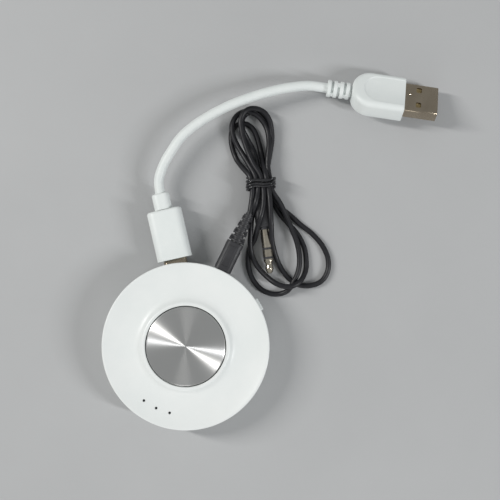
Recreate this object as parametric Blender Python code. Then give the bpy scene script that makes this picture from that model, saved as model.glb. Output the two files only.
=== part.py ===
"""Bluetooth audio receiver: a round puck with its USB power lead and its tied audio lead.

Frame: origin at the centre of the puck's base, +Z up, -Y the front with the indicator holes,
+Y the rear with the audio socket.  Dimensions are in millimetres and MM turns them into metres.
"""
import math

import bmesh
import bpy
from mathutils import Matrix, Vector, geometry

MM = 0.001
GAP = 0.3                     # clearance between pieces that touch

# Puck
PUCK_R = 29.2                 # outer radius at the rim
PUCK_FOOT_R = 28.5            # outer radius at the parting line
PARTING_Z = 2.6
RIM_Z = 12.0
VALLEY_R, VALLEY_Z = 19.0, 10.25
RING_R, RING_Z = 15.6, 11.9   # raised ring round the button
WELL_R, WELL_Z = 14.15, 8.9   # bore that the button moves in
WALL = 1.8
TURN_STEPS = 64

# Button
DISC_R, DISC_Z = 13.8, 11.75
CLIP = (4.0, 1.2, 0.7)        # tabs that hold the button under the rim of its well
CLIP_R, CLIP_Z = 14.65, 8.25
CLIP_ANGLES = (30.0, 150.0, 270.0)

# Board and what stands on it
BOARD_R, BOARD_Z, BOARD_T = 25.4, 3.6, 1.0
SEAT_Z = BOARD_Z + BOARD_T + GAP
PORT_Z = 6.5                  # axis of both sockets and of the slide switch

# Base trim and power switch
FOOT_RING = (20.2, 24.8)      # inner and outer radius
LABEL_R = 12.0
KNOB = (4.6, 4.9, 2.0)        # across, out of the wall, up
SWITCH_TRAVEL = 2.0

# Directions round the puck, in degrees anticlockwise from +X
USB_ANGLE, USB_SIDE = 128.5, 2.8          # heading of the power socket, and how far it is off-centre
SWITCH_ANGLE, AUDIO_ANGLE = 55.0, 90.0
USB_OPENING = (9.6, 3.8)
AUDIO_OPENING_R = 2.9
INDICATOR_ANGLES = (258.0, 270.0, 282.0)
INDICATOR_R, INDICATOR_HOLE_R = 23.9, 0.45
SCREW_ANGLES = (15.0, 165.0, 235.0, 305.0)
SCREW_CIRCLE_R = 22.5

# USB lead
USB_C_W, USB_C_H = 8.25, 2.4
USB_C_GRIP = (12.3, 17.8, 6.4)
USB_C_GRIP_EDGE = 2.7         # radius of its long edges
USB_C_GRIP_START = 30.5
USB_C_NECK = (6.2, 5.6, 4.8)
USB_C_NECK_EDGE = 2.2
USB_CORD_D = 3.5
USB_A_W, USB_A_H, USB_A_OUT = 12.0, 4.5, 11.8
USB_A_GRIP = (15.0, 18.6, 7.8)
USB_A_Z = 6.45
USB_A_ROLL = 29.0
USB_A_HEADING = 17.0
USB_A_BASE = (13.8, 105.7)    # back end of the grip

# Audio lead
PIN_R, PIN_LENGTH = 1.75, 16.4
PIN_ROOT = 0.8                # how far the pin reaches into its grip
AUDIO_GRIP_START = 29.6
AUDIO_GRIP = (6.2, 10.2, 5.6)
NEAR_GRIP_FRONT = -0.4        # the grip in the puck starts this close to its pin's shoulder
AUDIO_RELIEF = (2.7, 1.6, 11.0)          # radius at the grip, radius at the cord, length
AUDIO_RIBS = 8
AUDIO_CORD_D = 1.9
HANK_H = 4.9
TIE_CENTRE, TIE_HEADING = (-1.0, 62.8), 26.0
TIE_SIZE = (10.6, 5.2, 7.9)
FAR_PIN_BASE = (7.0, 49.3)
FAR_PIN_HEADING = -57.7
FAR_Z = 3.2


# ---------------------------------------------------------------- helpers

def clear_scene():
    for thing in list(bpy.data.objects):
        bpy.data.objects.remove(thing, do_unlink=True)


def material(name, colour, roughness, metallic=0.0):
    made = bpy.data.materials.get(name)
    if made is None:
        made = bpy.data.materials.new(name)
        made.use_nodes = True
        shader = made.node_tree.nodes["Principled BSDF"]
        shader.inputs["Base Color"].default_value = (*colour, 1.0)
        shader.inputs["Roughness"].default_value = roughness
        shader.inputs["Metallic"].default_value = metallic
    return made


def white_plastic():
    return material("white_plastic", (0.80, 0.82, 0.80), 0.35)


def black_plastic():
    return material("black_plastic", (0.02, 0.02, 0.022), 0.45)


def black_cord():
    return material("black_cord", (0.03, 0.03, 0.034), 0.5)


def bright_steel():
    return material("nickel", (0.62, 0.59, 0.54), 0.25, 1.0)


def gold():
    return material("gold", (0.85, 0.68, 0.42), 0.2, 1.0)


def turn_matrix(angle, height=0.0):
    """Local +Y points out of the puck at this angle."""
    return Matrix.Rotation(math.radians(angle - 90.0), 4, "Z") @ Matrix.Translation((0, 0, height * MM))


def usb_port_matrix(reach=0.0):
    """Local +Y points out of the power socket, along its axis."""
    return turn_matrix(USB_ANGLE, PORT_Z) @ Matrix.Translation(Vector((USB_SIDE, reach, 0)) * MM)


def add_object(name, mesh_builder, finish, matrix=None, parent=None):
    """Turn a bmesh into a named object whose place is given by a world matrix."""
    for face in mesh_builder.faces:
        face.smooth = True
    mesh = bpy.data.meshes.new(name)
    mesh_builder.to_mesh(mesh)
    mesh_builder.free()
    mesh.set_sharp_from_angle(angle=math.radians(40))
    thing = bpy.data.objects.new(name, mesh)
    bpy.context.collection.objects.link(thing)
    if finish is not None:
        mesh.materials.append(finish)
    place(thing, matrix or Matrix(), parent)
    return thing


def place(thing, matrix, parent):
    """Set a world matrix, keeping it when the thing hangs on a joint empty."""
    if parent is not None:
        thing.parent = parent
        thing.matrix_parent_inverse = parent.matrix_basis.inverted()
    thing.matrix_basis = matrix


def joint_empty(name, matrix):
    """An empty on a joint's axis; the pieces that the joint moves hang on it."""
    marker = bpy.data.objects.new(name, None)
    marker.empty_display_size = 5 * MM
    bpy.context.collection.objects.link(marker)
    marker.matrix_basis = matrix
    return marker


def lathe(profile, steps=TURN_STEPS):
    """Spin a closed (radius, height) outline about Z; the stretch on the axis makes no face."""
    builder = bmesh.new()
    verts = [builder.verts.new((radius * MM, 0, height * MM)) for radius, height in profile]
    pairs = zip(verts, verts[1:] + verts[:1])
    edges = [builder.edges.new(pair) for pair in pairs if pair[0].co.x > 0 or pair[1].co.x > 0]
    bmesh.ops.spin(builder, geom=verts + edges, axis=(0, 0, 1), cent=(0, 0, 0),
                   angle=math.tau, steps=steps, use_merge=True)
    bmesh.ops.remove_doubles(builder, verts=builder.verts, dist=1e-6)
    bmesh.ops.recalc_face_normals(builder, faces=builder.faces)
    return builder


def arc(centre, radius, start, end, count):
    """Points along an arc, angles in degrees."""
    steps = [math.radians(start + (end - start) * i / (count - 1)) for i in range(count)]
    return [(centre[0] + radius * math.cos(a), centre[1] + radius * math.sin(a)) for a in steps]


def prism(outline, low, high):
    """Extrude an (x, y) outline from height low to height high."""
    builder = bmesh.new()
    base = builder.faces.new([builder.verts.new((x * MM, y * MM, low * MM)) for x, y in outline])
    lifted = bmesh.ops.extrude_face_region(builder, geom=[base])
    top = [item for item in lifted["geom"] if isinstance(item, bmesh.types.BMVert)]
    bmesh.ops.translate(builder, verts=top, vec=(0, 0, (high - low) * MM))
    bmesh.ops.recalc_face_normals(builder, faces=builder.faces)
    return builder


def rounded_outline(width, depth, radius, count=4, centre=(0.0, 0.0)):
    """A rectangle with round corners, in order round its edge."""
    points = []
    for turn, (sx, sy) in enumerate(((1, 1), (-1, 1), (-1, -1), (1, -1))):
        corner = (centre[0] + sx * (width / 2 - radius), centre[1] + sy * (depth / 2 - radius))
        points += arc(corner, radius, turn * 90, turn * 90 + 90, count)
    return points


def block(size, centre, bevel=0.0, segments=1):
    """A box, with its edges rounded when a bevel is given."""
    builder = bmesh.new()
    bmesh.ops.create_cube(builder, size=MM)
    bmesh.ops.scale(builder, vec=size, verts=builder.verts)
    if bevel:
        bmesh.ops.bevel(builder, geom=builder.edges, offset=bevel * MM, segments=segments,
                        profile=0.5, affect="EDGES")
    bmesh.ops.translate(builder, vec=Vector(centre) * MM, verts=builder.verts)
    return builder


def lay_along_y(builder):
    """Swap a piece that was made along +Z so that it runs along +Y."""
    bmesh.ops.rotate(builder, verts=builder.verts, cent=(0, 0, 0),
                     matrix=Matrix.Rotation(math.radians(-90), 3, "X"))
    return builder


def boolean(target, cutter, operation="DIFFERENCE"):
    """Cut or join with a hidden guide object."""
    cutter.hide_render = True
    cutter.display_type = "WIRE"
    modifier = target.modifiers.new(operation.lower(), "BOOLEAN")
    modifier.operation = operation
    modifier.solver = "EXACT"
    modifier.object = cutter


def guide(name, builder, matrix=None, parent=None):
    return add_object("guide_" + name, builder, None, matrix, parent)


def smooth_curve(points, spacing):
    """Points at an even spacing along a Catmull-Rom curve through the given points."""
    ways = [Vector(point) for point in points]
    ways = [2 * ways[0] - ways[1]] + ways + [2 * ways[-1] - ways[-2]]
    fine = []
    for a, b, c, d in zip(ways, ways[1:], ways[2:], ways[3:]):
        fine += list(geometry.interpolate_bezier(b, b + (c - a) / 6, c - (d - b) / 6, c, 24))[:-1]
    fine.append(ways[-2])
    spans = [(q - p).length for p, q in zip(fine, fine[1:])]
    count = max(2, round(sum(spans) / spacing))
    step = sum(spans) / count
    even, walked, index = [fine[0]], 0.0, 0
    for number in range(1, count):
        while walked + spans[index] < number * step:
            walked += spans[index]
            index += 1
        part = (number * step - walked) / spans[index]
        even.append(fine[index].lerp(fine[index + 1], part))
    return even + [fine[-1]]


def cord(name, route, diameter, finish, parent, spacing):
    """A tube along a smooth curve through the route's points, spaced in diameters."""
    curve = bpy.data.curves.new(name, "CURVE")
    curve.dimensions = "3D"
    curve.bevel_depth = diameter / 2 * MM
    curve.bevel_resolution = 2
    curve.use_fill_caps = True
    points = smooth_curve(route, spacing * diameter)
    spline = curve.splines.new("POLY")
    spline.points.add(len(points) - 1)
    for slot, point in zip(spline.points, points):
        slot.co = (*(point * MM), 1.0)
    curve.materials.append(finish)
    thing = bpy.data.objects.new(name, curve)
    bpy.context.collection.objects.link(thing)
    place(thing, Matrix(), parent)
    return thing


# ---------------------------------------------------------------- puck

def ring_slot(width, height, count=7):
    """A slot outline with round ends, width along X."""
    return rounded_outline(width, height, height / 2 - 0.01, count)


def top_shell():
    inner_r = PUCK_R - WALL
    dish = [(PUCK_R - 0.6, RIM_Z), (25.5, 11.05), (22.5, 10.45), (VALLEY_R, VALLEY_Z), (17.2, 10.5),
            (16.2, 11.1), (RING_R + 0.1, 11.65), (RING_R - 0.35, RING_Z)]
    under = [(WELL_R, WELL_Z), (RING_R + 0.3, WELL_Z), (RING_R + 1.6, VALLEY_Z - 1.5),
             (22.5, VALLEY_Z - 1.3), (25.8, RIM_Z - 2.4), (inner_r - 0.1, RIM_Z - 3.0)]
    outside = [(PUCK_FOOT_R, PARTING_Z), (PUCK_R - 0.35, PORT_Z), (PUCK_R, RIM_Z - 0.9)]
    outline = (dish + [(WELL_R + 0.2, RING_Z), (WELL_R, RING_Z - 0.2)] + under
               + [(inner_r - 0.1, PARTING_Z)] + outside)
    shell = add_object("top_shell", lathe(outline), white_plastic())
    cut_usb = prism(ring_slot(*USB_OPENING), 24.0, 33.0)
    boolean(shell, guide("usb_opening", lay_along_y(cut_usb), usb_port_matrix()))
    cut_audio = lathe([(0, 24.0), (0, 33.0), (AUDIO_OPENING_R, 33.0), (AUDIO_OPENING_R, 24.0)], 28)
    boolean(shell, guide("audio_opening", lay_along_y(cut_audio), turn_matrix(AUDIO_ANGLE, PORT_Z)))
    travel_middle = SWITCH_TRAVEL / 2
    cut_switch = block((KNOB[0] + SWITCH_TRAVEL + 2 * GAP, 8, KNOB[2] + 2 * GAP), (travel_middle, 28.5, 0))
    boolean(shell, guide("switch_opening", cut_switch, turn_matrix(SWITCH_ANGLE, PORT_Z)))
    for number, angle in enumerate(INDICATOR_ANGLES, 1):
        pinhole = lathe([(0, 8), (0, 13), (INDICATOR_HOLE_R, 13), (INDICATOR_HOLE_R, 8)], 12)
        boolean(shell, guide(f"pinhole_{number}", pinhole, spot(angle, INDICATOR_R)))
    for number, angle in enumerate(SCREW_ANGLES, 1):
        post = lathe([(1.25, 3.5), (1.25, 8.4), (0, 8.4), (0, 10.1), (1.9, 10.1), (1.9, 3.5)][::-1], 16)
        boolean(shell, guide(f"post_{number}", post, spot(angle, SCREW_CIRCLE_R)), "UNION")


def spot(angle, radius, height=0.0):
    """A place on the puck, turned so that local +Y points outwards."""
    return turn_matrix(angle) @ Matrix.Translation(Vector((0, radius, height)) * MM)


def bottom_shell():
    lip_r = PUCK_R - WALL - 0.4
    groove = (FOOT_RING[0] - GAP, FOOT_RING[1] + GAP)
    outline = [(0, 2.4), (0, 1.1), (LABEL_R + GAP, 1.1), (LABEL_R + GAP, 0.7), (groove[0], 0.7),
               (groove[0], 1.1), (groove[1], 1.1), (groove[1], 0.7), (27.6, 0.7), (28.3, 1.3),
               (PUCK_FOOT_R, PARTING_Z - GAP), (lip_r, PARTING_Z - GAP), (lip_r, 3.6),
               (lip_r - 1.0, 3.6), (lip_r - 1.0, 2.4), (25.3, 2.4), (25.3, 3.2), (19.7, 3.2), (19.7, 2.4)]
    shell = add_object("bottom_shell", lathe(outline), white_plastic())
    for number, angle in enumerate(SCREW_ANGLES, 1):
        bore = lathe([(0, 0.5), (0, 3.6), (1.2, 3.6), (1.2, 2.5), (2.0, 2.5), (2.0, 0.5)], 16)
        boolean(shell, guide(f"screw_hole_{number}", bore, spot(angle, SCREW_CIRCLE_R)))


def base_trim():
    inner, outer = FOOT_RING
    ring = lathe([(inner, 0.8), (outer, 0.8), (outer, 0.25), (outer - 0.25, 0), (inner + 0.25, 0),
                  (inner, 0.25)])
    add_object("foot_ring", ring, material("grey_rubber", (0.25, 0.26, 0.27), 0.8))
    label = lathe([(0, 0.8), (LABEL_R, 0.8), (LABEL_R, 0.5), (0, 0.5)], 40)
    add_object("label_plate", label, material("label_film", (0.75, 0.76, 0.76), 0.5))
    for number, angle in enumerate(SCREW_ANGLES, 1):
        screw = lathe([(0, 7.8), (0.9, 7.4), (0.9, 2.35), (1.7, 2.35), (1.7, 1.3), (0, 1.3)], 16)
        add_object(f"case_screw_{number}", screw, bright_steel(), spot(angle, SCREW_CIRCLE_R))


def board():
    outline = arc((0, 0), BOARD_R, 90 + 7.8, 450 - 7.8, 60)
    notch = [(3.45, 12.2), (-3.45, 12.2)]
    plate = add_object("circuit_board", prism(outline + notch, BOARD_Z, BOARD_Z + BOARD_T),
                       material("board_green", (0.02, 0.16, 0.07), 0.5))
    for number, angle in enumerate(SCREW_ANGLES, 1):
        hole = lathe([(0, 3), (0, 6), (2.25, 6), (2.25, 3)], 16)
        boolean(plate, guide(f"board_hole_{number}", hole, spot(angle, SCREW_CIRCLE_R)))


def board_block(name, size, centre, finish, bevel=0.1):
    """A component that stands on the board."""
    made = block(size, (centre[0], centre[1], SEAT_Z + size[2] / 2), bevel)
    return add_object(name, made, finish)


def components():
    package = material("chip_black", (0.03, 0.03, 0.03), 0.6)
    can = material("can_steel", (0.6, 0.6, 0.6), 0.35, 1.0)
    board_block("radio_shield_can", (10.0, 9.0, 1.6), (-14.0, 2.0), can, 0.25)
    board_block("audio_chip", (5.0, 5.0, 0.9), (13.0, 0.5), package)
    board_block("charge_chip", (3.0, 3.0, 0.9), (8.0, 6.5), package)
    board_block("crystal", (3.2, 2.5, 0.8), (17.5, -4.5), can)
    pouch = material("pouch_foil", (0.7, 0.71, 0.72), 0.4, 0.6)
    board_block("battery_cell", (20.0, 14.0, 2.0), (0.0, -12.5), pouch, 0.5)
    for number, centre in enumerate(((8.2, 13.0), (15.0, 8.2)), 1):
        can_outline = [(0, 2.4), (1.6, 2.4), (1.6, 0), (0, 0)]
        where = Matrix.Translation(Vector((*centre, SEAT_Z)) * MM)
        add_object(f"coupling_capacitor_{number}", lathe(can_outline, 20), can, where)
    clear = material("light_pipe_clear", (0.85, 0.87, 0.88), 0.1)
    for number, angle in enumerate(INDICATOR_ANGLES, 1):
        chip = block((1.6, 0.8, 0.6), (0, 0, 0.3), 0.08)
        add_object(f"indicator_led_{number}", chip, material("led_resin", (0.85, 0.82, 0.6), 0.3),
                   spot(angle, INDICATOR_R, SEAT_Z))
        pipe = lathe([(0, 8.85), (0.8, 8.85), (0.8, 5.8), (0, 5.8)], 16)
        add_object(f"light_pipe_{number}", pipe, clear, spot(angle, INDICATOR_R))


def button(parent):
    disc = [(0, DISC_Z), (6.0, DISC_Z + 0.02), (DISC_R - 0.3, DISC_Z + 0.1), (DISC_R, DISC_Z - 0.15),
            (DISC_R, DISC_Z - 0.7), (0, DISC_Z - 0.7)]
    add_object("button_disc", lathe(disc), material("spun_aluminium", (0.55, 0.56, 0.57), 0.3, 1.0),
               parent=parent)
    top = DISC_Z - 0.7 - GAP
    outline = [(0, top), (13.5, top), (13.7, top - 0.2), (13.7, 8.3), (12.3, 8.3), (12.3, 9.5),
               (2.0, 9.5), (2.0, 7.4), (0, 7.4)]
    carrier = add_object("button_carrier", lathe(outline, 48), white_plastic(), parent=parent)
    notch = block((7.4, 5.0, 2.4), (0, 14.2, 8.0))
    boolean(carrier, guide("carrier_notch", notch, parent=parent))
    for number, angle in enumerate(CLIP_ANGLES, 1):
        clip = block(CLIP, (0, 0, 0), 0.15)
        add_object(f"button_clip_{number}", clip, white_plastic(), spot(angle, CLIP_R, CLIP_Z), parent)
    tip = lathe([(0, 7.1), (1.2, 7.1), (1.2, 5.85), (0, 5.85)], 20)
    add_object("tact_switch_plunger", tip, black_plastic(), parent=parent)


def tact_switch():
    body = add_object("tact_switch_body", block((6, 6, 1.4), (0, 0, SEAT_Z + 0.7), 0.2), black_plastic())
    well = lathe([(0, 5.15), (0, 7), (1.5, 7), (1.5, 5.15)], 20)
    boolean(body, guide("plunger_well", well))


def slide_switch(parent):
    where = turn_matrix(SWITCH_ANGLE, PORT_Z)
    housing = block((9.0, 4.0, 3.2), (SWITCH_TRAVEL / 2, 22.4, 0.0), 0.2)
    body = add_object("slide_switch_body", housing, bright_steel(), where)
    slot = block((SWITCH_TRAVEL + 2.2, 3.0, 1.9), (SWITCH_TRAVEL / 2, 24.5, 0))
    boolean(body, guide("lever_slot", slot, where))
    knob = add_object("slide_switch_knob", block(KNOB, (0, PUCK_R + 0.7 - KNOB[1] / 2, 0), 0.35, 2),
                      white_plastic(), where, parent)
    lever = block((1.4, 3.0, 1.2), (0, 24.9, 0))
    boolean(knob, guide("lever", lever, where, parent), "UNION")


# ---------------------------------------------------------------- sockets

def sockets():
    where = usb_port_matrix()
    outer = lay_along_y(prism(ring_slot(9.0, 3.2), 19.8, 27.4))
    shell = add_object("usb_socket_shell", outer, bright_steel(), where)
    inside = lay_along_y(prism(ring_slot(8.45, 2.6), 20.3, 29.0))
    boolean(shell, guide("usb_socket_mouth", inside, where))
    tongue = block((6.2, 5.0, 0.7), (0, 20.6 + 2.5, 0), 0.1)
    add_object("usb_socket_tongue", tongue, black_plastic(), where)
    rear = turn_matrix(AUDIO_ANGLE, PORT_Z)
    housing = block((6.2, 14.2, 4.2), (0, 19.8, -0.1), 0.2)
    jack = add_object("audio_socket", housing, black_plastic(), rear)
    nose = lay_along_y(lathe([(0, 26.0), (2.6, 26.0), (2.6, 28.7), (0, 28.7)][::-1], 24))
    boolean(jack, guide("audio_nose", nose, rear), "UNION")
    bore = lay_along_y(lathe([(0, 13.0), (0, 30.0), (1.85, 30.0), (1.85, 13.0)], 24))
    boolean(jack, guide("audio_bore", bore, rear))


# ---------------------------------------------------------------- USB lead

def grip(name, size, finish, matrix, parent, back_radius, edge):
    """A moulded plug grip: a flat front at y = 0, a rounded back and rounded long edges."""
    width, length, height = size
    outline = [(width / 2, 0)]
    for side, start in ((1, 0), (-1, 90)):
        corner = (side * (width / 2 - back_radius), length - back_radius)
        outline += arc(corner, back_radius, start, start + 90, 5)
    outline.append((-width / 2, 0))
    builder = prism(outline, -height / 2, height / 2)
    rims = [e for e in builder.edges if abs(e.verts[0].co.z - e.verts[1].co.z) < 1e-7
            and max(v.co.y for v in e.verts) > 1e-7]
    bmesh.ops.bevel(builder, geom=rims, offset=edge * MM, segments=3, profile=0.5, affect="EDGES")
    return add_object(name, builder, finish, matrix, parent)


def usb_lead(parent):
    white = white_plastic()
    where = usb_port_matrix(USB_C_GRIP_START)
    width, length, height = USB_C_GRIP
    bar = lay_along_y(prism(rounded_outline(width, height, USB_C_GRIP_EDGE, 5), 0.0, length))
    rear = [e for e in bar.edges if min(v.co.y for v in e.verts) > (length - 0.001) * MM]
    bmesh.ops.bevel(bar, geom=rear, offset=0.9 * MM, segments=3, profile=0.5, affect="EDGES")
    body = add_object("usb_c_grip", bar, white, where, parent)
    pocket = lay_along_y(prism(ring_slot(USB_C_W + 2 * GAP, USB_C_H + 2 * GAP), -1.0, 1.5))
    boolean(body, guide("usb_c_pocket", pocket, where, parent))
    outer = lay_along_y(prism(ring_slot(USB_C_W, USB_C_H), -8.0, 1.2))
    shell = add_object("usb_c_shell", outer, bright_steel(), where, parent)
    hollow = lay_along_y(prism(ring_slot(USB_C_W - 0.7, USB_C_H - 0.7), -9.0, 0.4))
    boolean(shell, guide("usb_c_hollow", hollow, where, parent))
    back = USB_C_GRIP[1] + GAP
    outline = rounded_outline(USB_C_NECK[0], USB_C_NECK[2], USB_C_NECK_EDGE, 5)
    neck = lay_along_y(prism(outline, back, back + USB_C_NECK[1]))
    add_object("usb_c_neck", neck, white, where, parent)
    cord("usb_cord", usb_route(), USB_CORD_D, white, parent, 1.6)
    usb_a_plug(parent)


def usb_route():
    """Centreline of the white cord, from the neck to the ribs of the far plug."""
    start = usb_port_matrix(USB_C_GRIP_START + USB_C_GRIP[1] + USB_C_NECK[1] + 2 * GAP) @ Vector() / MM
    end = usb_a_matrix() @ Vector((0, -8.9 * MM, 0)) / MM
    middle = [(-33.9, 48.2, 6.7), (-34.7, 53.3, 7.1), (-34.3, 59.4, 7.5), (-33.2, 65.3, 7.9),
              (-30.6, 71.2, 8.2), (-26.9, 77.0, 8.4), (-22.6, 82.6, 8.5), (-17.6, 87.9, 8.4),
              (-12.2, 92.9, 8.1), (-6.5, 97.4, 7.6), (-0.5, 101.1, 6.8)]
    return [start] + middle + [end]


def usb_a_matrix():
    """Local +Y along the plug towards its mouth, origin at the back of the grip."""
    heading = Matrix.Rotation(math.radians(USB_A_HEADING - 90), 4, "Z")
    roll = Matrix.Rotation(math.radians(-USB_A_ROLL), 4, "Y")
    return Matrix.Translation(Vector((*USB_A_BASE, USB_A_Z)) * MM) @ heading @ roll


def usb_a_plug(parent):
    white, where = white_plastic(), usb_a_matrix()
    pitch, ribs = 2.2, 4
    profile = [(1.9, -8.6)]
    for number in range(ribs):
        low = -8.6 + number * pitch
        profile += [(3.0, low), (3.0, low + 1.3), (1.9, low + 1.3), (1.9, low + pitch)]
    profile[-1] = (1.9, -GAP)
    outline = [(0, -GAP)] + profile[1:][::-1] + [(0, -8.6)]
    add_object("usb_a_relief", lay_along_y(lathe(outline, 20)), white, where, parent)
    body = grip("usb_a_grip", USB_A_GRIP, white, where, parent, 6.6, 1.8)
    turned_back = where @ Matrix.Translation((0, USB_A_GRIP[1] * MM, 0))
    body.data.transform(Matrix.Translation((0, USB_A_GRIP[1] * MM, 0)) @ Matrix.Rotation(math.pi, 4, "Z"))
    pocket = block((USB_A_W + 2 * GAP, 3.0, USB_A_H + 2 * GAP), (0, 0.0, 0))
    boolean(body, guide("usb_a_pocket", pocket, turned_back, parent))
    length = USB_A_OUT + 1.2
    shell = add_object("usb_a_shell", block((USB_A_W, length, USB_A_H), (0, length / 2 - 1.2, 0), 0.4, 2),
                       bright_steel(), turned_back, parent)
    hollow = block((USB_A_W - 0.7, length + 1, USB_A_H - 0.7), (0, length / 2 - 0.4, 0))
    boolean(shell, guide("usb_a_hollow", hollow, turned_back, parent))
    for side in (-1, 1):
        window = block((2.3, 1.9, 8), (side * 3.25, 5.0, 0))
        boolean(shell, guide(f"usb_a_window_{side + 2}", window, turned_back, parent))
    tongue = block((10.4, USB_A_OUT - 0.6, 1.7), (0, USB_A_OUT / 2 - 0.5, -0.75), 0.15)
    add_object("usb_a_tongue", tongue, white, turned_back, parent)


# ---------------------------------------------------------------- audio lead

def audio_plug(prefix, where, parent, front):
    """Pin, grip and ribbed relief; the cord leaves along local +Y and the grip starts at front."""
    pin = [(0, -PIN_LENGTH), (0.7, -PIN_LENGTH + 0.15), (1.55, -PIN_LENGTH + 1.7), (1.2, -PIN_LENGTH + 3.0),
           (1.25, -PIN_LENGTH + 3.4), (PIN_R, -PIN_LENGTH + 4.0), (PIN_R, PIN_ROOT), (0, PIN_ROOT)]
    add_object(prefix + "_pin", lay_along_y(lathe(pin[::-1], 20)), gold(), where, parent)
    forward = where @ Matrix.Translation((0, front * MM, 0))
    size = (AUDIO_GRIP[0], AUDIO_GRIP[1] + GAP - front, AUDIO_GRIP[2])
    body = grip(prefix + "_grip", size, black_plastic(), forward, parent, 1.2, 1.1)
    floor = PIN_ROOT + GAP
    bore = lathe([(0, -2.0), (0, floor), (PIN_R + GAP, floor), (PIN_R + GAP, -2.0)], 24)
    boolean(body, guide(prefix + "_grip_bore", lay_along_y(bore), where, parent))
    back = GAP + AUDIO_GRIP[1] + GAP
    wide, slim, length = AUDIO_RELIEF
    ribs = AUDIO_RIBS
    pitch = length / ribs
    outline = [(0, length)]
    for number in reversed(range(ribs)):
        radius = wide + (slim - wide) * (number + 0.5) / ribs
        low, high = number * pitch, (number + 0.62) * pitch
        outline += [(radius * 0.78, low + pitch), (radius * 0.78, high), (radius, high), (radius, low)]
    outline += [(0, 0)]
    relief = lay_along_y(lathe(outline, 16))
    behind = where @ Matrix.Translation((0, back * MM, 0))
    add_object(prefix + "_relief", relief, black_plastic(), behind, parent)


def far_plug_matrix():
    heading = Matrix.Rotation(math.radians(FAR_PIN_HEADING + 180 - 90), 4, "Z")
    return Matrix.Translation(Vector((*FAR_PIN_BASE, FAR_Z)) * MM) @ heading


def tie_matrix():
    turn = Matrix.Rotation(math.radians(TIE_HEADING), 4, "Z")
    return Matrix.Translation(Vector((*TIE_CENTRE, 0)) * MM) @ turn


def hank(parent):
    """Outer shape of the folded cord: two lobes with the tie round the waist between them."""
    lower = [(-3.4, 58.6), (-0.1, 57.2), (0.2, 55.6), (1.0, 50.9), (2.6, 45.6), (4.1, 40.1), (6.7, 33.6),
             (10.8, 29.7), (17.0, 27.6), (23.2, 29.6), (28.0, 34.2), (33.0, 37.8), (35.6, 43.4),
             (32.9, 50.9), (26.0, 56.2), (17.0, 58.9), (9.0, 61.4), (4.2, 62.2)]
    upper = [(1.6, 67.2), (-0.4, 70.0), (-1.9, 74.8), (-5.0, 82.6), (-10.4, 87.1), (-16.6, 86.2),
             (-20.3, 79.0), (-18.4, 72.2), (-12.6, 65.8), (-6.3, 63.3)]
    outline = []
    for lobe in (lower, upper):
        outline += [(p.x, p.y) for p in smooth_curve([(x, y, 0.0) for x, y in lobe], 3.0)]
    solid = add_object("audio_hank", prism(outline, 0.0, HANK_H), black_cord(), parent=parent)
    wide, slim, length = AUDIO_RELIEF
    grip_end = AUDIO_GRIP[1] + GAP
    half = [(PIN_R + 0.35, -PIN_LENGTH - 0.5), (PIN_R + 0.35, -5.5), (AUDIO_GRIP[0] / 2 + 0.35, -5.5),
            (AUDIO_GRIP[0] / 2 + 0.35, grip_end + 0.3), (wide + 0.35, grip_end + 0.3),
            (slim + 0.45, grip_end + length + 0.7)]
    slot = prism(half + [(-x, y) for x, y in half[::-1]], -9.0, 9.0)
    boolean(solid, guide("far_plug_slot", slot, far_plug_matrix(), parent))
    notch = block((TIE_SIZE[0] + 4, TIE_SIZE[1] + 2 * GAP, 1.6), (0, 0, 0.0))
    boolean(solid, guide("tie_notch", notch, tie_matrix(), parent))
    tie = add_object("cable_tie", block(TIE_SIZE, (0, 0, TIE_SIZE[2] / 2), 0.8, 2), black_plastic(),
                     tie_matrix(), parent)
    inside = block((TIE_SIZE[0] - 1.5, 9.0, TIE_SIZE[2] - 1.0), (0, 0, TIE_SIZE[2] / 2))
    boolean(tie, guide("tie_inside", inside, tie_matrix(), parent))


def audio_lead(parent):
    near = turn_matrix(AUDIO_ANGLE, PORT_Z) @ Matrix.Translation((0, AUDIO_GRIP_START * MM, 0))
    audio_plug("audio_plug", near, parent, NEAR_GRIP_FRONT)
    start_y = AUDIO_GRIP_START + AUDIO_GRIP[1] + AUDIO_RELIEF[2] + 3 * GAP
    route = [(0.0, start_y, PORT_Z), (-0.2, 52.6, 6.4), (-0.9, 54.0, 5.7), (-1.8, 55.4, 4.7),
             (-2.7, 57.0, 3.7)]
    cord("audio_cord", route, AUDIO_CORD_D, black_cord(), parent, 0.5)
    hank(parent)
    audio_plug("far_plug", far_plug_matrix(), parent, GAP)


# ---------------------------------------------------------------- assembly

def main():
    clear_scene()
    top_shell()
    bottom_shell()
    base_trim()
    board()
    components()
    tact_switch()
    sockets()
    button(joint_empty("button_axis", Matrix.Translation((0, 0, DISC_Z * MM))))
    slide_switch(joint_empty("power_slider_axis", turn_matrix(SWITCH_ANGLE, PORT_Z)))
    usb_lead(joint_empty("usb_lead_axis", usb_port_matrix()))
    audio_lead(joint_empty("audio_lead_axis", turn_matrix(AUDIO_ANGLE, PORT_Z)))


main()
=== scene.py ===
"""Looks of the Bluetooth audio receiver: white puck, white USB lead and a tied black audio lead.

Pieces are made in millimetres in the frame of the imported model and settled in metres.
"""
import math

import bmesh
import bpy
from mathutils import Matrix, Vector, geometry


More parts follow.
